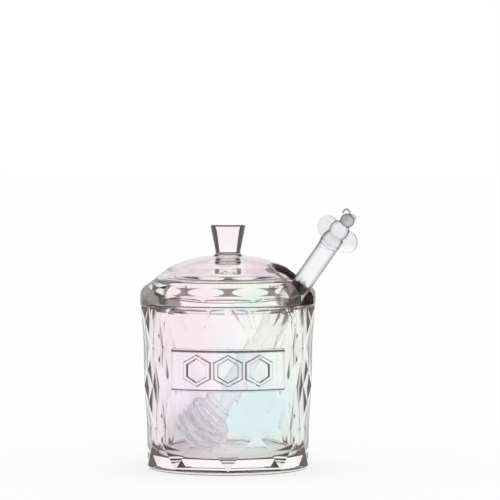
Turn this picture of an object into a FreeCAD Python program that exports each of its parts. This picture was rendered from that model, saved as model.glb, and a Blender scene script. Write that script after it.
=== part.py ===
"""Honey pot in glass: a faceted jar, its domed lid and a dipper. Millimetres, +Z up.

The jar stands on z = 0 about the Z axis, with its plaque on the -Y side. The lid lies on the jar's
rim. The dipper leans on the rim and comes out through the lid's notch, to the right of the front.
"""
import FreeCAD
import Part
import math
import os

# ---- driving dimensions ----
RIM_Z = 87.0            # top of the jar, where the lid lies
RIM_RADIUS = 46.2
BASE_RADIUS = 42.7
SIDES = 9               # facet points in each row
BANDS = 4               # rows of triangular facets
FOOT_HEIGHT = 1.8
RIM_BAND = 1.2          # height of the round band over the facets
FLOOR_Z = 7.8
MOUTH_RADIUS = 41.0
FLOOR_RADIUS = 38.3
FLOOR_CORNER = 8.0
EDGE = 0.5              # softened edges of the pressed glass

# plaque on the front of the jar, and the row of raised hexagons on it
PLAQUE_BOTTOM = 43.2
PLAQUE_TOP = 65.2
PLAQUE_RADIUS = 45.6
PLAQUE_HALF_ANGLE = 40.0
PLAQUE_BEVEL = 0.9
CELLS = 3
CELL_HEIGHT = 16.8
CELL_STROKE = 2.6
CELL_PITCH = 16.4
CELL_RELIEF = 1.1
CELL_SLOPE = 0.7        # how far a frame's sides lean in over its relief

# lid, outside
LID_RADIUS = 46.3
SHOULDER_ARC = 7.5      # radius of the rounded shoulder
SHOULDER_Z = 90.2       # where the upright side ends
SHOULDER_SLOPE = 37.8   # slope of the cone over the shoulder, in degrees
CROWN_RADIUS = 31.0     # where the cone ends and the crown starts
CROWN_MIDDLE = (20.0, 109.75)
CREST = (11.5, 111.6)   # highest ring of the crown, round the knob's foot
KNOB_FOOT_Z = 111.1
OVALS = 12              # flat ovals ground round the shoulder
OVAL_TILT = 35.0
OVAL_DEPTH = 0.95

# lid, inside
FLANGE_GAP = 0.6
FLANGE_WALL = 3.6
FLANGE_DEPTH = 4.2
SKIRT_Z = 95.2          # where the upright inner wall ends
INNER_CONE = ((34.5, 98.7), (31.0, 101.7))
INNER_MIDDLE = (20.0, 106.6)
CEILING = (9.0, 109.4)  # where the inside levels out
BOSS_RADIUS = 7.0       # short boss under the ceiling, below the knob
BOSS_NOTCH_Z = 107.6
BOSS_NOTCH = 0.6
BOSS_BOTTOM_Z = 105.0

# knob
KNOB_TOP_Z = 128.0
KNOB_TOP_RADIUS = 9.2
KNOB_NECK_RADIUS = 6.6
KNOB_NECK_Z = 114.2
BEAD_Z = 112.0          # ring between the knob's neck and its foot
BEAD_RADIUS = 7.3
BEAD_ROUND = 0.9

# notch in the lid, and the dipper that stands in it
NOTCH_AZIMUTH = 65.0    # to the right of the front
NOTCH_WIDTH = 16.0
NOTCH_INNER = 26.0      # from the axis to the notch's rounded end
LEAN = 36.6             # of the dipper, from the vertical
ROD_RADIUS = 5.3
HEAD_RADIUS = 15.0
HEAD_LENGTH = 16.5
RIBS = 3
RIB_DEPTH = 3.4         # of the grooves under the ribs' edges
GROOVE_SHARE = 0.3      # of the pitch of the ribs
REST_GAP = 0.04         # between the dipper and what it leans on

# bee at the dipper's upper end
BEE_Z = 131.3           # centre of the bee's head over the table
BEE_HEAD_RADIUS = 3.8
TAIL_RADIUS = 5.6
WING_RADIUS = 5.8
WING_OFFSET = 6.55
WING_SHIFT = 0.45       # of both wings, away from the jar
WING_THICKNESS = 1.5
FEELER_RADIUS = 0.5

UP = FreeCAD.Vector(0, 0, 1)
CENTRE = FreeCAD.Vector(0, 0, 0)


# ---- small helpers ----
def polar(radius, azimuth, z=0.0):
    """A point at an azimuth counted from the front (-Y) towards the right (+X)."""
    angle = math.radians(azimuth)
    return FreeCAD.Vector(radius * math.sin(angle), -radius * math.cos(angle), z)


def line(start, end):
    return Part.LineSegment(section(*start), section(*end)).toShape()


def arc(start, middle, end):
    return Part.Arc(section(*start), section(*middle), section(*end)).toShape()


def section(radius, z):
    """A point of a half section: distance from the axis, height."""
    return FreeCAD.Vector(radius, 0, z)


def corner_arc(centre, radius, from_angle, to_angle):
    """An arc of a half section about a centre, with its angles in degrees from the radial direction."""
    points = []
    for angle in (from_angle, (from_angle + to_angle) / 2, to_angle):
        turn = math.radians(angle)
        points.append((centre[0] + radius * math.cos(turn), centre[1] + radius * math.sin(turn)))
    return arc(*points)


def revolve(edges, angle=360.0):
    """Turn a closed half section about the Z axis."""
    face = Part.Face(Part.Wire(Part.__sortEdges__(edges)))
    return face.revolve(CENTRE, UP, angle)


def single(shape):
    """The one solid of a shape, with seams between matching faces removed."""
    clean = shape.removeSplitter()
    assert len(clean.Solids) == 1, "expected one solid"
    return clean.Solids[0]


# ---- jar ----
def facet_rows():
    """Rings of facet points from the rim down; every other ring is turned by half a step."""
    top = RIM_Z - RIM_BAND
    step = 360.0 / SIDES
    rows = []
    for row in range(BANDS + 1):
        share = row / BANDS
        radius = RIM_RADIUS + (BASE_RADIUS - RIM_RADIUS) * share
        z = top + (FOOT_HEIGHT - top) * share
        turn = step / 2 * (row % 2)
        rows.append([polar(radius, turn + step * side, z) for side in range(SIDES)])
    return rows


def triangle(a, b, c):
    return Part.Face(Part.makePolygon([a, b, c, a]))


def faceted_body():
    """Triangles that lean to and fro between the rings, closed by a flat top and bottom."""
    rows = facet_rows()
    faces = []
    for upper in range(BANDS):
        high, low = rows[upper], rows[upper + 1]
        shift = upper % 2
        for side in range(SIDES):
            after = (side + 1) % SIDES
            faces.append(triangle(high[side], high[after], low[(side + shift) % SIDES]))
            faces.append(triangle(low[side], low[after], high[(side + 1 - shift) % SIDES]))
    for ring in (rows[0], rows[-1]):
        faces.append(Part.Face(Part.makePolygon(ring + ring[:1])))
    return Part.Solid(Part.Shell(faces))


def rim_band():
    """Round band over the facets, with a sloping underside and a softened top edge."""
    valley = RIM_RADIUS * math.cos(math.pi / SIDES) - EDGE
    low = RIM_Z - RIM_BAND - (RIM_RADIUS - valley) / 2
    top = RIM_Z - EDGE
    return revolve([
        line((0, low), (valley, low)),
        line((valley, low), (RIM_RADIUS, RIM_Z - RIM_BAND)),
        line((RIM_RADIUS, RIM_Z - RIM_BAND), (RIM_RADIUS, top)),
        corner_arc((RIM_RADIUS - EDGE, top), EDGE, 0, 90),
        line((RIM_RADIUS - EDGE, RIM_Z), (0, RIM_Z)),
        line((0, RIM_Z), (0, low)),
    ])


def foot():
    """Round foot that the facets end on."""
    radius = BASE_RADIUS - EDGE
    curve = FOOT_HEIGHT - EDGE
    return revolve([
        line((0, 0), (radius - curve, 0)),
        corner_arc((radius - curve, curve), curve, -90, 0),
        line((radius, curve), (radius, FOOT_HEIGHT)),
        line((radius, FOOT_HEIGHT), (0, FOOT_HEIGHT)),
        line((0, FOOT_HEIGHT), (0, 0)),
    ])


def cavity():
    """Round inside of the jar, with a generous corner at the floor and a softened mouth."""
    flat = FLOOR_RADIUS - FLOOR_CORNER
    bend = FLOOR_Z + FLOOR_CORNER
    over = RIM_Z + 5
    return revolve([
        line((0, FLOOR_Z), (flat, FLOOR_Z)),
        corner_arc((flat, bend), FLOOR_CORNER, -90, 0),
        line((FLOOR_RADIUS, bend), (MOUTH_RADIUS, RIM_Z - EDGE)),
        line((MOUTH_RADIUS, RIM_Z - EDGE), (MOUTH_RADIUS + EDGE, RIM_Z)),
        line((MOUTH_RADIUS + EDGE, RIM_Z), (MOUTH_RADIUS + EDGE, over)),
        line((MOUTH_RADIUS + EDGE, over), (0, over)),
        line((0, over), (0, FLOOR_Z)),
    ])


def front_sector(solid, half_angle):
    """Turn a solid that was revolved from the +X direction until its sector is centred on the front."""
    solid.rotate(CENTRE, UP, -90.0 - half_angle)
    return solid


def plaque():
    """Curved plate with bevelled edges, proud of the facets."""
    inside = FLOOR_RADIUS + 3
    outside = PLAQUE_RADIUS
    bevel = PLAQUE_BEVEL
    plate = revolve([
        line((inside, PLAQUE_BOTTOM), (outside - bevel, PLAQUE_BOTTOM)),
        line((outside - bevel, PLAQUE_BOTTOM), (outside, PLAQUE_BOTTOM + bevel)),
        line((outside, PLAQUE_BOTTOM + bevel), (outside, PLAQUE_TOP - bevel)),
        line((outside, PLAQUE_TOP - bevel), (outside - bevel, PLAQUE_TOP)),
        line((outside - bevel, PLAQUE_TOP), (inside, PLAQUE_TOP)),
        line((inside, PLAQUE_TOP), (inside, PLAQUE_BOTTOM)),
    ], 2 * PLAQUE_HALF_ANGLE)
    return front_sector(plate, PLAQUE_HALF_ANGLE)


def hexagon(y, height):
    """Outline of an upright hexagon that stands on a point, at a distance y in front of the axis."""
    z = (PLAQUE_BOTTOM + PLAQUE_TOP) / 2
    corners = []
    for corner in range(7):
        angle = math.radians(60 * corner)
        corners.append(FreeCAD.Vector(height / 2 * math.sin(angle), -y, z + height / 2 * math.cos(angle)))
    return Part.makePolygon(corners)


def tapered_bar(height, lean):
    """Hexagonal bar through the plaque, which leans in by a given width on each side over the relief."""
    wires = []
    for depth in (-4, 2):
        change = 2 * lean * depth
        wires.append(hexagon(PLAQUE_RADIUS + depth * CELL_RELIEF, height - change))
    return Part.makeLoft(wires, True)


def cells():
    """Row of raised hexagonal frames with sloping sides, each square to the plaque's curve."""
    inner = Part.makeCylinder(PLAQUE_RADIUS - 2, PLAQUE_TOP)
    layer = Part.makeCylinder(PLAQUE_RADIUS + CELL_RELIEF, PLAQUE_TOP).cut(inner)
    hole = tapered_bar(CELL_HEIGHT - 2 * CELL_STROKE, -CELL_SLOPE)
    cell = tapered_bar(CELL_HEIGHT, CELL_SLOPE).cut(hole).common(layer)
    turn = math.degrees(CELL_PITCH / PLAQUE_RADIUS)
    frames = []
    for place in range(CELLS):
        frame = cell.copy()
        frame.rotate(CENTRE, UP, turn * (place - (CELLS - 1) / 2))
        frames.append(frame)
    return frames


def make_jar():
    body = faceted_body().fuse([rim_band(), foot(), plaque()] + cells())
    return single(body.cut(cavity()))


# ---- lid ----
def cone_height(radius):
    """Height of the cone over the rounded shoulder."""
    slope = math.radians(SHOULDER_SLOPE)
    start = LID_RADIUS - SHOULDER_ARC + SHOULDER_ARC * math.sin(slope)
    return SHOULDER_Z + SHOULDER_ARC * math.cos(slope) + (start - radius) * math.tan(slope)


def knob_edges():
    """Outline of the knob from its foot on the crown, over the bead, up to the middle of its flat top."""
    soft = 0.8
    neck = KNOB_NECK_RADIUS
    top = KNOB_TOP_Z - soft
    bead_top = (neck, BEAD_Z + BEAD_ROUND)
    bead_foot = (neck, BEAD_Z - BEAD_ROUND)
    return [
        arc(bead_foot, (BEAD_RADIUS, BEAD_Z), bead_top),
        line(bead_top, (neck, KNOB_NECK_Z)),
        line((neck, KNOB_NECK_Z), (KNOB_TOP_RADIUS, top)),
        corner_arc((KNOB_TOP_RADIUS - soft, top), soft, 0, 90),
        line((KNOB_TOP_RADIUS - soft, KNOB_TOP_Z), (0, KNOB_TOP_Z)),
    ]


def lid_outside():
    """Upright side, rounded shoulder, cone, crown and knob, down to the seat on the rim."""
    bend = LID_RADIUS - SHOULDER_ARC
    cone_start = bend + SHOULDER_ARC * math.sin(math.radians(SHOULDER_SLOPE))
    crown_start = (CROWN_RADIUS, cone_height(CROWN_RADIUS))
    foot_end = (KNOB_NECK_RADIUS, KNOB_FOOT_Z)
    dip = ((CREST[0] + KNOB_NECK_RADIUS) / 2, (CREST[1] + KNOB_FOOT_Z) / 2 + 0.1)
    edges = [
        line((0, RIM_Z), (LID_RADIUS - EDGE, RIM_Z)),
        corner_arc((LID_RADIUS - EDGE, RIM_Z + EDGE), EDGE, -90, 0),
        line((LID_RADIUS, RIM_Z + EDGE), (LID_RADIUS, SHOULDER_Z)),
        corner_arc((bend, SHOULDER_Z), SHOULDER_ARC, 0, 90 - SHOULDER_SLOPE),
        line((cone_start, cone_height(cone_start)), crown_start),
        arc(crown_start, CROWN_MIDDLE, CREST),
        arc(CREST, dip, foot_end),
        line((0, KNOB_TOP_Z), (0, RIM_Z)),
    ]
    return revolve(edges + knob_edges())


def flange():
    """Ring under the lid that drops into the jar's mouth."""
    outer = MOUTH_RADIUS - FLANGE_GAP
    return Part.makeCylinder(outer, FLANGE_DEPTH + 1, FreeCAD.Vector(0, 0, RIM_Z - FLANGE_DEPTH))


def lid_hollow():
    """Inside of the skirt, the cone and the crown, left open round the boss under the knob."""
    wall = MOUTH_RADIUS - FLANGE_GAP - FLANGE_WALL
    low = RIM_Z - FLANGE_DEPTH - 1
    cone_foot, cone_top = INNER_CONE
    bend = (wall - 0.55, (SKIRT_Z + cone_foot[1]) / 2 + 0.1)
    soft = 1.2
    round_z = BOSS_BOTTOM_Z + soft
    ceiling_end = (BOSS_RADIUS, CEILING[1] + 0.1)
    notch_top = (BOSS_RADIUS, BOSS_NOTCH_Z + BOSS_NOTCH)
    notch_foot = (BOSS_RADIUS, BOSS_NOTCH_Z - BOSS_NOTCH)
    return revolve([
        line((0, low), (wall, low)),
        line((wall, low), (wall, SKIRT_Z)),
        arc((wall, SKIRT_Z), bend, cone_foot),
        line(cone_foot, cone_top),
        arc(cone_top, INNER_MIDDLE, CEILING),
        line(CEILING, ceiling_end),
        line(ceiling_end, notch_top),
        arc(notch_top, (BOSS_RADIUS - BOSS_NOTCH, BOSS_NOTCH_Z), notch_foot),
        line(notch_foot, (BOSS_RADIUS, round_z)),
        corner_arc((BOSS_RADIUS - soft, round_z), soft, 0, -90),
        line((BOSS_RADIUS - soft, BOSS_BOTTOM_Z), (0, BOSS_BOTTOM_Z)),
        line((0, BOSS_BOTTOM_Z), (0, low)),
    ])


def oval_cutters():
    """Blocks whose inner faces grind flat ovals on the shoulder."""
    width, height, thickness = 30.0, 20.0, 6.0
    distance = SHOULDER_ARC - OVAL_DEPTH
    blocks = []
    for oval in range(OVALS):
        block = Part.makeBox(thickness, width, height, FreeCAD.Vector(distance, -width / 2, -height / 2))
        block.rotate(CENTRE, FreeCAD.Vector(0, 1, 0), -OVAL_TILT)
        block.translate(section(LID_RADIUS - SHOULDER_ARC, SHOULDER_Z))
        block.rotate(CENTRE, UP, -90 + 360.0 / OVALS * (oval + 0.5))
        blocks.append(block)
    return blocks


def notch_cutter():
    """U-shaped slot from the lid's edge inwards."""
    half = NOTCH_WIDTH / 2
    low = RIM_Z - FLANGE_DEPTH - 2
    height = CREST[1] - low + 5
    end = NOTCH_INNER + half
    slot = Part.makeBox(40, NOTCH_WIDTH, height, FreeCAD.Vector(end, -half, low))
    slot = slot.fuse(Part.makeCylinder(half, height, FreeCAD.Vector(end, 0, low)))
    slot.rotate(CENTRE, UP, NOTCH_AZIMUTH - 90)
    return slot


def make_lid():
    body = lid_outside().fuse(flange())
    body = body.cut([lid_hollow()] + oval_cutters())
    return single(body.cut(notch_cutter()))


# ---- dipper, built upright with its tip at the origin and then leaned over ----
def rib_radius(place):
    """Barrel-shaped envelope of the ribs, with place from 0 at the tip to 1 at the neck."""
    return HEAD_RADIUS * math.sqrt(1 - 0.55 * (2 * place - 0.95) ** 2)


def head_edges():
    """Half section of the ribbed head: round-edged discs with grooves between them."""
    pitch = HEAD_LENGTH / RIBS
    groove = pitch * GROOVE_SHARE
    rounding = (pitch - groove) / 2
    edges = [line((0, HEAD_LENGTH), (0, 0))]
    start = (0, 0)
    for rib in range(RIBS):
        bottom = rib * pitch
        middle = bottom + rounding
        top = middle + rounding
        radius = rib_radius(middle / HEAD_LENGTH)
        core = radius - RIB_DEPTH
        edges.append(line(start, (radius - rounding, bottom)))
        edges.append(arc((radius - rounding, bottom), (radius, middle), (radius - rounding, top)))
        edges.append(line((radius - rounding, top), (core, top)))
        edges.append(line((core, top), (core, top + groove)))
        start = (core, top + groove)
    edges.append(line(start, (0, HEAD_LENGTH)))
    return edges


def lowest_reach():
    """How far the leaned head hangs below the tip of its axis."""
    lean = math.radians(LEAN)
    pitch = HEAD_LENGTH / RIBS
    rounding = pitch * (1 - GROOVE_SHARE) / 2
    reach = 0.0
    for rib in range(RIBS):
        middle = pitch * rib + rounding
        radius = rib_radius(middle / HEAD_LENGTH) - rounding
        reach = max(reach, radius * math.sin(lean) - middle * math.cos(lean) + rounding)
    return reach


def collar(z, radius, thickness):
    ring = Part.makeCylinder(radius, thickness, FreeCAD.Vector(0, 0, z))
    return ring.makeFillet(thickness * 0.4, [edge for edge in ring.Edges if len(edge.Vertexes) == 1
                                             and edge.Curve.TypeId == "Part::GeomCircle"])


def ball(radius, place, stretch=1.0):
    """Ball, drawn out along the dipper's axis."""
    matrix = FreeCAD.Matrix()
    matrix.scale(1, 1, stretch)
    shape = Part.makeSphere(radius).transformGeometry(matrix)
    shape.translate(place)
    return shape


def wing(side, z):
    """Flat round wing beside the bee's body, with softened edges."""
    low = FreeCAD.Vector(0, -WING_THICKNESS / 2, 0)
    disc = Part.makeCylinder(WING_RADIUS, WING_THICKNESS, low, FreeCAD.Vector(0, 1, 0))
    disc = disc.makeFillet(0.5, [edge for edge in disc.Edges if edge.Curve.TypeId == "Part::GeomCircle"])
    disc.translate(FreeCAD.Vector(WING_SHIFT + side * WING_OFFSET, 0, z))
    return disc


def feeler(root, bend, tip):
    """Thin curved feeler with a round tip."""
    spine = Part.Wire([Part.Arc(root, bend, tip).toShape()])
    curve = spine.Edges[0]
    start = curve.tangentAt(curve.FirstParameter)
    profile = Part.Wire([Part.Circle(root, start, FEELER_RADIUS).toShape()])
    rod = spine.makePipeShell([profile], True, True)
    return rod.fuse(Part.makeSphere(FEELER_RADIUS, tip))


def bee(z):
    """Bee on the rod's end, with its head centred at z: striped tail, middle, head, wings and feelers."""
    tail_middle = FreeCAD.Vector(0, -0.8, z - 14.5)
    tail = ball(TAIL_RADIUS, tail_middle, 1.4)
    for stripe in range(3):
        place = tail_middle - UP * (2.4 * stripe)
        tail = tail.cut(Part.makeTorus(TAIL_RADIUS + 0.1 - 0.25 * stripe, 0.5, place))
    middle = ball(ROD_RADIUS, FreeCAD.Vector(0, 0, z - 6.8))
    head = ball(BEE_HEAD_RADIUS, FreeCAD.Vector(0.7, -0.3, z))
    parts = [middle, head, wing(-1, z - 9.1), wing(1, z - 9.1)]
    front = -1.2
    root = FreeCAD.Vector(0.2, front, z + 2.6)
    parts.append(feeler(root, FreeCAD.Vector(-2.4, front, z + 4.9), FreeCAD.Vector(-3.4, front, z + 2.2)))
    parts.append(feeler(root, FreeCAD.Vector(2.0, front, z + 4.3), FreeCAD.Vector(4.2, front, z + 3.6)))
    return tail.fuse(parts)


def make_dipper():
    """Head, rod and bee as one piece, leaned from the jar's floor over the mouth's edge."""
    lean = math.radians(LEAN)
    tip_z = FLOOR_Z + REST_GAP + lowest_reach()
    bee_place = (BEE_Z - tip_z) / math.cos(lean)
    rod = Part.makeCylinder(ROD_RADIUS, bee_place - 9 - HEAD_LENGTH, FreeCAD.Vector(0, 0, HEAD_LENGTH - 2))
    collars = [collar(HEAD_LENGTH + 1.5 + 4.0 * ring, ROD_RADIUS + 1.3, 2.0) for ring in range(2)]
    dipper = single(revolve(head_edges()).fuse([rod] + collars + [bee(bee_place)]))
    at_rim = MOUTH_RADIUS - (ROD_RADIUS + REST_GAP) / math.cos(lean)
    tip_out = at_rim - (RIM_Z - EDGE - tip_z) * math.tan(lean)
    dipper.rotate(CENTRE, FreeCAD.Vector(0, 1, 0), LEAN)
    dipper.translate(section(tip_out, tip_z))
    dipper.rotate(CENTRE, UP, NOTCH_AZIMUTH - 90)
    return dipper


os.makedirs("parts", exist_ok=True)
for name, make in (("jar", make_jar), ("lid", make_lid), ("dipper", make_dipper)):
    make().exportStep("parts/" + name + ".step")
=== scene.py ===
"""Dresses the glass honey pot: lustre glass on the jar and the lid, clear glass on the dipper."""
import math
import bpy
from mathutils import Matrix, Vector


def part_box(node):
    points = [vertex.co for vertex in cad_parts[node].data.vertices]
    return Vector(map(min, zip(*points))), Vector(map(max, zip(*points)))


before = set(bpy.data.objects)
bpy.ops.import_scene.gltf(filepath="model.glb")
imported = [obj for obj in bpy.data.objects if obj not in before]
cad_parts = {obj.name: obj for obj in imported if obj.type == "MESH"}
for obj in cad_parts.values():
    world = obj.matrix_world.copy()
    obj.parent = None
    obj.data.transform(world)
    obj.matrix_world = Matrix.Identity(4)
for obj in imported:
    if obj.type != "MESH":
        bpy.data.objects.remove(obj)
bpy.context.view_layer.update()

# ---- places on the pot, in metres ----
JAR_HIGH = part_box("jar")[1]
LID_TOP_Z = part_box("lid")[1][2]
RADIUS = JAR_HIGH[0]
RIM_Z = JAR_HIGH[2]
KNOB_FOOT_Z = RIM_Z + 0.6 * (LID_TOP_Z - RIM_Z)
EDGES_FROM_Z = 0.12 * RIM_Z     # the jar's brown painted shade on its edges starts here, above its foot
MOUTH_RADIUS = 0.0418           # outside this, the jar's surfaces are its outer ones
KNOB_RADIUS = 0.012
KNOB_TOP_RADIUS = 0.0084
FOOT_Z = 0.0018
PLAQUE_BOTTOM = 0.0438
PLAQUE_TOP = 0.0646
PLAQUE_START = 0.0453           # radius beyond which the glass is the plaque's
OVALS = 12
OVAL_Z = 0.0944
OVAL_HALF_WIDTH = 0.42          # of the pitch between ovals
PATCH_HALF_HEIGHT = 0.0022
SHOULDER_RADIUS = 0.040
CREASE_Z = 0.0989
NOTCH_AZIMUTH = 65              # degrees from the front towards +X
NOTCH_HALF_WIDTH = 0.0083
NOTCH_START = 0.0255
BEE_Z = 0.118
BEE_HEAD = (0.0613, -0.0286, 0.1313)
FEELER_Z = 0.1345

# ---- half widths of the dark lines of painted shade round the pot ----
JAR_LINE = 0.0006
PLAQUE_TOP_LINE = 0.0016
PLAQUE_BOTTOM_LINE = 0.0010
KNOB_LINE = 0.0011
CREASE_LINE = 0.0004

# ---- camera: level with a point well above the pot, and far away ----
CAMERA_DISTANCE = 1.6
CAMERA_HEIGHT = 0.171
LOOK_AT = (0.0116, 0.0, 0.1147)
FIELD = 0.2632                  # width of the view at the pot's axis
SENSOR = 36.0
FAR_END = 100

# ---- studio ----
WHITE = (1.0, 1.0, 1.0)
DARK_ROOM = (0.04, 0.027, 0.023)
TURNED_BACK = (0.7, 2.1)        # inner reflections between which the studio turns dark
FLOOR_SIZE = 30.0
FLOOR_Z = -0.0002
FLOOR_COLOUR = (0.97, 0.97, 0.97)
FLOOR_GLOW = 0.7                # share of the floor that glows where it is seen

# ---- glass ----
JAR_IOR = 1.4                   # these bend light less than most real glass, for a quieter look
LID_IOR = 1.38
DIPPER_IOR = 1.45
EDGE_STRENGTH = 0.9             # how far the jar's edges that face aside go to brown painted shade
DIPPER_EDGE_STRENGTH = 0.95
CLEAR_ROUGHNESS = 0.08          # of the dipper, which streaks and the bee's frost add to
STREAK_ROUGHNESS = 0.12
BEE_ROUGHNESS = 0.15
STREAK_SCALE = 260.0
STREAK_STRETCH = (1.0, 1.0, 0.35)
DIM_TURNS = 4                   # inner reflections from which on a view gets a dim painted glow
DIPPER_DIM_TURNS = 2

# ---- colours of the glass ----
LID_COLOURS = {"Left": (1.0, 0.945, 0.962), "Middle": (1.0, 0.985, 0.98), "Right": (0.99, 0.96, 0.972)}
JAR_COLOURS = {"Left": (0.99, 0.935, 0.955), "Middle": (0.995, 0.965, 0.975), "Right": (0.955, 0.98, 0.945)}
CLEAR = (0.95, 0.955, 0.97)
BLACK = (0.0, 0.0, 0.0)
# painted shade: nearly black on the knob, brown on the jar, a mid shade on the lid's dome
DEEP_SHADE = (0.006, 0.004, 0.0035)
EDGE_SHADE_BROWN = (0.02, 0.0125, 0.0105)
MID_SHADE = (0.10, 0.08, 0.074)
# painted shade on the dipper where it is seen edge on: darker above the jar's rim, paler below
EDGE_SHADE_GREY = (0.07, 0.07, 0.08)
PALE_EDGE_SHADE = (0.88, 0.875, 0.885)
FROST = (0.86, 0.865, 0.88)
BEE_GREY = (0.40, 0.40, 0.42)
# painted shade in the lid's notch
NOTCH_SHADE = (0.09, 0.066, 0.058)
# painted glow: dim colours that the glass gives off in place of black
DEPTHS_GLOW = (0.05, 0.034, 0.03)
PALE_DEPTHS_GLOW = (0.24, 0.235, 0.245)

# ---- soft blooms of lustre: colour, then place and reach across and up, as shares of the piece ----
LID_BLOOMS = [
    ((0.985, 0.86, 0.935), (0.42, 0.78), (0.36, 0.30)),
    ((0.99, 0.90, 0.935), (-0.42, 0.75), (0.34, 0.28)),
    ((0.99, 0.975, 0.93), (0.00, 0.55), (0.36, 0.20)),
    ((0.98, 0.87, 0.93), (-0.26, 0.30), (0.24, 0.16)),
    ((0.80, 0.95, 0.84), (0.27, 0.30), (0.30, 0.20)),
    ((0.92, 0.95, 0.99), (0.10, 0.08), (0.30, 0.10)),
    ((0.965, 0.885, 0.91), (0.00, 1.40), (0.40, 0.45)),
]
JAR_BLOOMS = [
    ((0.985, 0.90, 0.935), (-0.50, 0.80), (0.50, 0.30)),
    ((0.93, 0.95, 0.97), (0.02, 0.58), (0.22, 0.30)),
    ((0.97, 0.985, 0.935), (0.55, 0.82), (0.40, 0.22)),
    ((0.85, 0.94, 0.945), (0.36, 0.34), (0.50, 0.27)),
    ((0.94, 0.89, 0.95), (-0.55, 0.42), (0.34, 0.20)),
    ((0.82, 0.78, 0.81), (-0.46, 0.24), (0.34, 0.18)),
    ((0.96, 0.89, 0.93), (-0.70, 0.06), (0.40, 0.08)),
]

# ---- how the lustre drifts across the pot and sways ----
DRIFT_LEFT = -0.6 * RADIUS
DRIFT_MIDDLE = 0.1 * RADIUS
DRIFT_RIGHT = 0.65 * RADIUS
SWAY_SCALE = 26.0
SWAY_MIDDLE = (0.5, 0.5, 0.5)
SWAY_REACH = (0.03, 0.0, 0.02)

# ---- soft borders: the values between which each mask or colour changes ----
BLOOM_FADE = (0.35, 1.2)        # shares of a bloom's reach
TURNED_ASIDE = (0.70, 0.80)     # how straight out from the pot's axis a surface faces
UPRIGHT = (0.25, 0.6)           # how far up or down a surface faces
LINE_FADE = (0.5, 1.0)          # shares of a line's half width
PATCH_SIDES = (0.85, 1.05)      # squared distance from an oval's middle, 1 at its border
PATCH_ENDS = (0.75, 0.95)       # squared share of a patch's half height
STREAK_EDGES = (0.42, 0.56)
KNOB_EDGE_ON = (0.24, 0.30)
DIPPER_EDGE_ON = (0.15, 0.70)
BEE_FADE = (BEE_Z - 0.002, BEE_Z + 0.002)
BEE_HEAD_FADE = (0.0040, 0.0046)
FEELER_FADE = (FEELER_Z, FEELER_Z + 0.0005)
RIM_FADE = (RIM_Z - 0.004, RIM_Z + 0.004)


def set_inputs(node, **values):
    """Set sockets by their names, with spaces written as underscores."""
    for name, value in values.items():
        node.inputs[name.replace("_", " ")].default_value = value


def new_material(name):
    """New node material, with its empty nodes and links."""
    material = bpy.data.materials.new(name)
    material.use_nodes = True
    material.node_tree.nodes.clear()
    return material, material.node_tree.nodes, material.node_tree.links


def add(nodes, kind, **settings):
    """New node with its settings."""
    node = nodes.new(kind)
    for name, value in settings.items():
        setattr(node, name, value)
    return node


def feed(links, node, values):
    """Give a node's inputs, in order, their values: each a socket, a number or three numbers."""
    for place, value in enumerate(values):
        if isinstance(value, (int, float, tuple)):
            node.inputs[place].default_value = value
        else:
            links.new(value, node.inputs[place])


def math_node(nodes, links, operation, *values):
    """Result of a Math node on one or two values."""
    node = add(nodes, "ShaderNodeMath", operation=operation)
    feed(links, node, values)
    return node.outputs["Value"]


def vector_node(nodes, links, operation, *values):
    """Vector that a Vector Math node makes of its values."""
    node = add(nodes, "ShaderNodeVectorMath", operation=operation)
    feed(links, node, values)
    return node.outputs["Vector"]


def measure_node(nodes, links, operation, *values):
    """Number that a Vector Math node makes of its values, such as a length."""
    node = add(nodes, "ShaderNodeVectorMath", operation=operation)
    feed(links, node, values)
    return node.outputs["Value"]


def object_place(nodes):
    """Place on the piece, in the pot's own frame."""
    return nodes.new("ShaderNodeTexCoord").outputs["Object"]


def xyz_parts(nodes, links, vector):
    """The X, Y and Z of a vector."""
    split = nodes.new("ShaderNodeSeparateXYZ")
    links.new(vector, split.inputs[0])
    return split.outputs


def ramp(nodes, links, value, limits, start=0.0, end=1.0):
    """Smooth step from start to end as a value goes from the first limit to the second."""
    node = add(nodes, "ShaderNodeMapRange", interpolation_type="SMOOTHSTEP")
    set_inputs(node, From_Min=limits[0], From_Max=limits[1], To_Min=start, To_Max=end)
    links.new(value, node.inputs["Value"])
    return node.outputs["Result"]


def mix_colours(nodes, links, factor, first, second):
    """Mix of two colours, each a socket or a colour."""
    node = add(nodes, "ShaderNodeMix", data_type="RGBA")
    links.new(factor, node.inputs["Factor"])
    for name, colour in (("A", first), ("B", second)):
        if isinstance(colour, tuple):
            node.inputs[name].default_value = (*colour, 1)
        else:
            links.new(colour, node.inputs[name])
    return node.outputs["Result"]


def largest(nodes, links, masks):
    """Largest of several masks."""
    total = masks[0]
    for mask in masks[1:]:
        total = math_node(nodes, links, "MAXIMUM", total, mask)
    return total


def new_group(name, inputs, outputs):
    """Node group with named sockets, with its nodes, its links, its entry's outputs and its exit's inputs."""
    group = bpy.data.node_groups.new(name, "ShaderNodeTree")
    for in_out, sockets in (("INPUT", inputs), ("OUTPUT", outputs)):
        for label, kind in sockets:
            group.interface.new_socket(label, in_out=in_out, socket_type="NodeSocket" + kind)
    entry = group.nodes.new("NodeGroupInput").outputs
    leave = group.nodes.new("NodeGroupOutput").inputs
    return group, group.nodes, group.links, entry, leave


def swayed_place(nodes, links):
    """Object coordinates with a slow sway, so that the borders of the lustre are uneven."""
    place = object_place(nodes)
    drift = nodes.new("ShaderNodeTexNoise")
    set_inputs(drift, Scale=SWAY_SCALE, Detail=1.0)
    links.new(place, drift.inputs["Vector"])
    centred = vector_node(nodes, links, "SUBTRACT", drift.outputs["Color"], SWAY_MIDDLE)
    return vector_node(nodes, links, "MULTIPLY_ADD", centred, SWAY_REACH, place)


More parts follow.
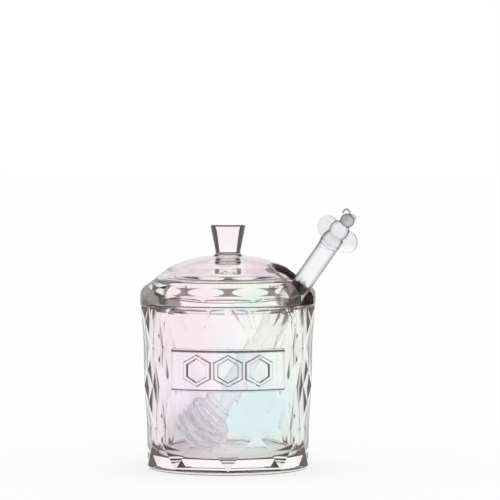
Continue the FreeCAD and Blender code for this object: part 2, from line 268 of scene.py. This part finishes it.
def lustre_group():
    """Lustre that drifts from left to right."""
    inputs = [(label, "Color") for label in ("Left", "Middle", "Right")]
    group, nodes, links, entry, leave = new_group("lustre", inputs, [("Colour", "Color")])
    across = xyz_parts(nodes, links, swayed_place(nodes, links))["X"]
    to_middle = ramp(nodes, links, across, (DRIFT_LEFT, DRIFT_MIDDLE))
    to_right = ramp(nodes, links, across, (DRIFT_MIDDLE, DRIFT_RIGHT))
    colour = mix_colours(nodes, links, to_middle, entry["Left"], entry["Middle"])
    links.new(mix_colours(nodes, links, to_right, colour, entry["Right"]), leave["Colour"])
    return group


def bloom_group():
    """One soft oval bloom of another colour. Its Reach holds 1 over its half widths in x and z."""
    inputs = [("Colour", "Color"), ("Bloom", "Color"), ("Place", "Vector"), ("Reach", "Vector")]
    group, nodes, links, entry, leave = new_group("bloom", inputs, [("Colour", "Color")])
    away = vector_node(nodes, links, "SUBTRACT", swayed_place(nodes, links), entry["Place"])
    shares = vector_node(nodes, links, "MULTIPLY", away, entry["Reach"])
    length = measure_node(nodes, links, "LENGTH", shares)
    strength = ramp(nodes, links, length, BLOOM_FADE, 1.0, 0.0)
    links.new(mix_colours(nodes, links, strength, entry["Colour"], entry["Bloom"]), leave["Colour"])
    return group


def edge_group():
    """Masks for edges and walls.

    Outer is what lies outside the radius, Edge is the part of it above the lowest height that faces aside,
    and Wall is every surface that stands upright.
    """
    inputs = [("Radius", "Float"), ("Lowest", "Float")]
    outputs = [("Edge", "Float"), ("Wall", "Float"), ("Outer", "Float")]
    group, nodes, links, entry, leave = new_group("edges", inputs, outputs)
    coordinates = nodes.new("ShaderNodeTexCoord").outputs
    flat = vector_node(nodes, links, "MULTIPLY", coordinates["Object"], (1, 1, 0))
    straight_out = vector_node(nodes, links, "NORMALIZE", flat)
    facing = measure_node(nodes, links, "DOT_PRODUCT", straight_out, coordinates["Normal"])
    aside = ramp(nodes, links, math_node(nodes, links, "ABSOLUTE", facing), TURNED_ASIDE, 1.0, 0.0)
    distance = measure_node(nodes, links, "LENGTH", flat)
    outer = math_node(nodes, links, "GREATER_THAN", distance, entry["Radius"])
    height = xyz_parts(nodes, links, coordinates["Object"])["Z"]
    above = math_node(nodes, links, "GREATER_THAN", height, entry["Lowest"])
    edge = math_node(nodes, links, "MULTIPLY", math_node(nodes, links, "MULTIPLY", aside, outer), above)
    steepness = math_node(nodes, links, "ABSOLUTE", xyz_parts(nodes, links, coordinates["Normal"])["Z"])
    links.new(edge, leave["Edge"])
    links.new(ramp(nodes, links, steepness, UPRIGHT, 1.0, 0.0), leave["Wall"])
    links.new(outer, leave["Outer"])
    return group


def ring_group():
    """Thin line round the pot at a height."""
    inputs = [("Height", "Float"), ("Width", "Float")]
    group, nodes, links, entry, leave = new_group("ring", inputs, [("Mask", "Float")])
    height = xyz_parts(nodes, links, object_place(nodes))["Z"]
    away = math_node(nodes, links, "SUBTRACT", height, entry["Height"])
    share = math_node(nodes, links, "DIVIDE", math_node(nodes, links, "ABSOLUTE", away), entry["Width"])
    links.new(ramp(nodes, links, share, LINE_FADE, 1.0, 0.0), leave["Mask"])
    return group


def between_ovals_group():
    """Patches on the lid's shoulder that are left between its pressed ovals."""
    inputs = [("Count", "Float"), ("Height", "Float"), ("Half Height", "Float")]
    group, nodes, links, entry, leave = new_group("between_ovals", inputs, [("Mask", "Float")])
    place = xyz_parts(nodes, links, object_place(nodes))
    angle = math_node(nodes, links, "ARCTAN2", place["X"], place["Y"])
    turns = math_node(nodes, links, "DIVIDE", angle, 2 * math.pi)
    pitches = math_node(nodes, links, "MULTIPLY", turns, entry["Count"])
    from_middle = math_node(nodes, links, "SUBTRACT", math_node(nodes, links, "FRACT", pitches), 0.5)
    across = math_node(nodes, links, "DIVIDE", from_middle, OVAL_HALF_WIDTH)
    away = math_node(nodes, links, "SUBTRACT", place["Z"], entry["Height"])
    up = math_node(nodes, links, "DIVIDE", away, entry["Half Height"])
    squares = [math_node(nodes, links, "MULTIPLY", value, value) for value in (across, up)]
    outside = ramp(nodes, links, math_node(nodes, links, "ADD", *squares), PATCH_SIDES)
    within = ramp(nodes, links, squares[1], PATCH_ENDS, 1.0, 0.0)
    links.new(math_node(nodes, links, "MULTIPLY", outside, within), leave["Mask"])
    return group


def slot_group():
    """Region of an upright slot that runs out from the pot's axis."""
    inputs = [("Direction", "Vector"), ("Half Width", "Float"), ("Start", "Float")]
    group, nodes, links, entry, leave = new_group("slot", inputs, [("Mask", "Float")])
    flat = vector_node(nodes, links, "MULTIPLY", object_place(nodes), (1, 1, 0))
    along = measure_node(nodes, links, "DOT_PRODUCT", flat, entry["Direction"])
    across = vector_node(nodes, links, "CROSS_PRODUCT", flat, entry["Direction"])
    aside = measure_node(nodes, links, "LENGTH", across)
    narrow = math_node(nodes, links, "LESS_THAN", aside, entry["Half Width"])
    beyond = math_node(nodes, links, "GREATER_THAN", along, entry["Start"])
    links.new(math_node(nodes, links, "MULTIPLY", narrow, beyond), leave["Mask"])
    return group


def streak_group():
    """Upright streaks, as the many bent views of a facet make in thick glass."""
    group, nodes, links, entry, leave = new_group("streaks", [("Scale", "Float")], [("Mask", "Float")])
    mapping = nodes.new("ShaderNodeMapping")
    mapping.inputs["Scale"].default_value = STREAK_STRETCH
    links.new(object_place(nodes), mapping.inputs["Vector"])
    noise = nodes.new("ShaderNodeTexNoise")
    set_inputs(noise, Detail=2.0)
    links.new(mapping.outputs["Vector"], noise.inputs["Vector"])
    links.new(entry["Scale"], noise.inputs["Scale"])
    links.new(ramp(nodes, links, noise.outputs["Fac"], STREAK_EDGES), leave["Mask"])
    return group


def glass_shader(nodes, links, ior):
    """Smooth clear glass that bends light by an index, joined to the material's output."""
    output = nodes.new("ShaderNodeOutputMaterial")
    shader = nodes.new("ShaderNodeBsdfPrincipled")
    set_inputs(shader, Roughness=0.0, Metallic=0.0, IOR=ior, Transmission_Weight=1.0)
    links.new(shader.outputs["BSDF"], output.inputs["Surface"])
    return shader


def seen_edge_on(nodes, links, limits):
    """Value that rises from 0 to 1 as the surface is seen more edge on."""
    facing = nodes.new("ShaderNodeLayerWeight")
    facing.inputs["Blend"].default_value = 0.5
    return ramp(nodes, links, facing.outputs["Facing"], limits)


def placed(nodes, group, **values):
    """Node that uses a group, with its values."""
    node = nodes.new("ShaderNodeGroup")
    node.node_tree = group
    set_inputs(node, **values)
    return node


def bloomed_colour(nodes, links, groups, colours, blooms, low, high):
    """Lustre of a piece between two heights: its drift of colours, with its blooms."""
    colour = placed(nodes, groups["lustre"], **{label: (*value, 1) for label, value in colours.items()})
    for shade, place, reach in blooms:
        bloom = placed(nodes, groups["bloom"], Bloom=(*shade, 1))
        bloom.inputs["Place"].default_value = (place[0] * RADIUS, 0, low + place[1] * (high - low))
        bloom.inputs["Reach"].default_value = (1 / (reach[0] * RADIUS), 0, 1 / (reach[1] * (high - low)))
        links.new(colour.outputs["Colour"], bloom.inputs["Colour"])
        colour = bloom
    return colour.outputs["Colour"]


def rings(nodes, links, groups, lines):
    """Mask of several thin lines, each a height and a half width."""
    masks = [placed(nodes, groups["ring"], Height=height, Width=width).outputs["Mask"]
             for height, width in lines]
    return largest(nodes, links, masks)


def outside_radius(nodes, groups, radius):
    """Mask of what lies outside a radius."""
    return placed(nodes, groups["edges"], Radius=radius).outputs["Outer"]


def glow_in_depths(nodes, links, shader, colour, turns, where=1.0):
    """Painted light: make the glass glow dimly through its Emission, in place of black, on views that it
    turns back many times.
    """
    path = nodes.new("ShaderNodeLightPath")
    lost = math_node(nodes, links, "GREATER_THAN", path.outputs["Glossy Depth"], turns - 0.5)
    lost = math_node(nodes, links, "MULTIPLY", lost, where)
    links.new(mix_colours(nodes, links, lost, BLACK, colour), shader.inputs["Emission Color"])
    shader.inputs["Emission Strength"].default_value = 1.0


def jar_glass(groups):
    """Pressed lustre glass, with brown painted shade on its edges that face aside, on its plaque's ledges and
    on its foot's and rim's lines.
    """
    material, nodes, links = new_material("lustre_glass_jar")
    shader = glass_shader(nodes, links, JAR_IOR)
    colour = bloomed_colour(nodes, links, groups, JAR_COLOURS, JAR_BLOOMS, 0.0, RIM_Z)
    edges = placed(nodes, groups["edges"], Radius=MOUTH_RADIUS, Lowest=EDGES_FROM_Z)
    # painted shade: brown on the jar's upright edges that face aside, above its foot
    painted_edge_shade = math_node(nodes, links, "MULTIPLY", edges.outputs["Edge"], EDGE_STRENGTH)
    # painted shade: brown lines at the jar's bottom, at its foot's top and at its rim
    lines = rings(nodes, links, groups, [(height, JAR_LINE) for height in (0.0, FOOT_Z, RIM_Z)])
    lines = math_node(nodes, links, "MULTIPLY", lines, edges.outputs["Outer"])
    # painted shade: brown lines along the plaque's top and bottom ledges
    ledges = rings(nodes, links, groups,
                   [(PLAQUE_TOP, PLAQUE_TOP_LINE), (PLAQUE_BOTTOM, PLAQUE_BOTTOM_LINE)])
    ledges = math_node(nodes, links, "MULTIPLY", ledges, outside_radius(nodes, groups, PLAQUE_START))
    dark = largest(nodes, links, [painted_edge_shade, lines, ledges])
    links.new(mix_colours(nodes, links, dark, colour, EDGE_SHADE_BROWN), shader.inputs["Base Color"])
    glow_in_depths(nodes, links, shader, DEPTHS_GLOW, DIM_TURNS)
    return material


def lid_glass(groups):
    """Lustre glass with painted shade: nearly black on the knob's edges, a mid shade on the dome's, mid-shade
    patches, and brown in the notch.
    """
    material, nodes, links = new_material("lustre_glass_lid")
    shader = glass_shader(nodes, links, LID_IOR)
    colour = bloomed_colour(nodes, links, groups, LID_COLOURS, LID_BLOOMS, RIM_Z, KNOB_FOOT_Z)
    # painted shade: patches of mid shade on the lid's shoulder between its pressed ovals
    patches = placed(nodes, groups["ovals"], Count=OVALS, Height=OVAL_Z, Half_Height=PATCH_HALF_HEIGHT)
    patches = math_node(nodes, links, "MULTIPLY", patches.outputs["Mask"],
                        outside_radius(nodes, groups, SHOULDER_RADIUS))
    colour = mix_colours(nodes, links, patches, colour, MID_SHADE)
    edges = placed(nodes, groups["edges"], Radius=KNOB_RADIUS)
    # painted shade: nearly black on the knob, a mid shade on the dome outside it
    shade = mix_colours(nodes, links, edges.outputs["Outer"], DEEP_SHADE, MID_SHADE)
    edge_on = seen_edge_on(nodes, links, KNOB_EDGE_ON)
    # painted shade on upright walls where they are seen edge on
    painted_side_shade = math_node(nodes, links, "MULTIPLY", edges.outputs["Wall"], edge_on)
    # painted shade: a dark line round the knob's top edge
    top_line = rings(nodes, links, groups, [(LID_TOP_Z, KNOB_LINE)])
    top_line = math_node(nodes, links, "MULTIPLY", top_line, outside_radius(nodes, groups, KNOB_TOP_RADIUS))
    # painted shade: a dark line in the crease on the lid
    crease = rings(nodes, links, groups, [(CREASE_Z, CREASE_LINE)])
    dark = largest(nodes, links, [painted_side_shade, top_line, crease])
    colour = mix_colours(nodes, links, dark, colour, shade)
    # painted shade: brown in the notch cut into the lid
    notch = placed(nodes, groups["slot"], Half_Width=NOTCH_HALF_WIDTH, Start=NOTCH_START)
    turn = math.radians(NOTCH_AZIMUTH)
    notch.inputs["Direction"].default_value = (math.sin(turn), -math.cos(turn), 0)
    colour = mix_colours(nodes, links, notch.outputs["Mask"], colour, NOTCH_SHADE)
    links.new(colour, shader.inputs["Base Color"])
    glow_in_depths(nodes, links, shader, DEPTHS_GLOW, DIM_TURNS)
    return material


def dipper_glass(groups):
    """Clear glass with a faint haze on its skin, grey painted shade where it is seen edge on (paler below the
    jar's rim, where a pale painted glow also fills in), and a darker frosted bee.
    """
    material, nodes, links = new_material("clear_glass_dipper")
    shader = glass_shader(nodes, links, DIPPER_IOR)
    place = object_place(nodes)
    height = xyz_parts(nodes, links, place)["Z"]
    bee = ramp(nodes, links, height, BEE_FADE)
    from_head = measure_node(nodes, links, "DISTANCE", place, BEE_HEAD)
    ball = ramp(nodes, links, from_head, BEE_HEAD_FADE, 1.0, 0.0)
    bee_head = largest(nodes, links, [ball, ramp(nodes, links, height, FEELER_FADE)])
    body = mix_colours(nodes, links, bee, CLEAR, FROST)
    body = mix_colours(nodes, links, bee_head, body, BEE_GREY)
    # painted shade: grey on the dipper where it is seen edge on, paler below the jar's rim
    above_rim = ramp(nodes, links, height, RIM_FADE)
    edge = mix_colours(nodes, links, above_rim, PALE_EDGE_SHADE, EDGE_SHADE_GREY)
    edge_on = seen_edge_on(nodes, links, DIPPER_EDGE_ON)
    dark = math_node(nodes, links, "MULTIPLY", edge_on, DIPPER_EDGE_STRENGTH)
    links.new(mix_colours(nodes, links, dark, body, edge), shader.inputs["Base Color"])
    streaks = placed(nodes, groups["streaks"], Scale=STREAK_SCALE)
    haze = math_node(nodes, links, "MULTIPLY", streaks.outputs["Mask"], STREAK_ROUGHNESS)
    frost = math_node(nodes, links, "MULTIPLY", bee, BEE_ROUGHNESS)
    haze = math_node(nodes, links, "ADD", haze, frost)
    links.new(math_node(nodes, links, "ADD", haze, CLEAR_ROUGHNESS), shader.inputs["Roughness"])
    below_rim = math_node(nodes, links, "SUBTRACT", 1.0, above_rim)
    glow_in_depths(nodes, links, shader, PALE_DEPTHS_GLOW, DIPPER_DIM_TURNS, below_rim)
    return material


def dress(node, material):
    """Give a CAD node its material, and weld its fine facets for smooth shading."""
    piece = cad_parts[node]
    piece.data.materials.clear()
    piece.data.materials.append(material)
    weld = piece.modifiers.new("weld", "WELD")
    weld.merge_threshold = 1e-6


def seen_through(nodes, links):
    """Two Light Path masks: what eye, gloss and glass see, and what glass has turned back inside."""
    path = nodes.new("ShaderNodeLightPath").outputs
    seen = largest(nodes, links, [path["Is Camera Ray"], path["Is Glossy Ray"], path["Is Transmission Ray"]])
    inside = math_node(nodes, links, "GREATER_THAN", path["Transmission Depth"], 0.5)
    turned = math_node(nodes, links, "MULTIPLY", inside, path["Glossy Depth"])
    return seen, ramp(nodes, links, turned, TURNED_BACK)


def make_world():
    """Even white studio, which turns dark for views that glass turns back inside twice or more."""
    world = bpy.data.worlds.new("studio")
    bpy.context.scene.world = world
    world.use_nodes = True
    nodes, links = world.node_tree.nodes, world.node_tree.links
    nodes.clear()
    output = nodes.new("ShaderNodeOutputWorld")
    back = nodes.new("ShaderNodeBackground")
    turned = seen_through(nodes, links)[1]
    links.new(mix_colours(nodes, links, turned, WHITE, DARK_ROOM), back.inputs["Color"])
    links.new(back.outputs["Background"], output.inputs["Surface"])


def make_floor():
    """White floor that glows where it is seen, like the studio, and still takes the pot's shadow."""
    bpy.ops.mesh.primitive_plane_add(size=FLOOR_SIZE, location=(0, 0, FLOOR_Z))
    floor = bpy.context.object
    floor.name = "floor"
    material, nodes, links = new_material("floor_white")
    output = nodes.new("ShaderNodeOutputMaterial")
    diffuse = nodes.new("ShaderNodeBsdfDiffuse")
    diffuse.inputs["Color"].default_value = (*FLOOR_COLOUR, 1)
    glow = nodes.new("ShaderNodeEmission")
    mix = nodes.new("ShaderNodeMixShader")
    seen, turned = seen_through(nodes, links)
    links.new(mix_colours(nodes, links, turned, WHITE, DARK_ROOM), glow.inputs["Color"])
    links.new(math_node(nodes, links, "MULTIPLY", seen, FLOOR_GLOW), mix.inputs["Fac"])
    links.new(diffuse.outputs["BSDF"], mix.inputs[1])
    links.new(glow.outputs["Emission"], mix.inputs[2])
    links.new(mix.outputs["Shader"], output.inputs["Surface"])
    floor.data.materials.append(material)


def make_camera():
    """Camera far in front of the pot, a little above it, with a narrow view."""
    camera = bpy.data.cameras.new("camera")
    holder = bpy.data.objects.new("camera", camera)
    bpy.context.scene.collection.objects.link(holder)
    holder.location = (0, -CAMERA_DISTANCE, CAMERA_HEIGHT)
    aim = Vector(LOOK_AT) - holder.location
    holder.rotation_euler = aim.to_track_quat("-Z", "Y").to_euler()
    camera.sensor_width = SENSOR
    camera.lens = SENSOR * aim.length / FIELD
    camera.clip_end = FAR_END
    bpy.context.scene.camera = holder


groups = {"lustre": lustre_group(), "bloom": bloom_group(), "edges": edge_group(), "ring": ring_group(),
          "ovals": between_ovals_group(), "slot": slot_group(), "streaks": streak_group()}
dress("jar", jar_glass(groups))
dress("lid", lid_glass(groups))
dress("dipper", dipper_glass(groups))
make_world()
make_floor()
make_camera()

bpy.context.scene.view_settings.view_transform = "Standard"
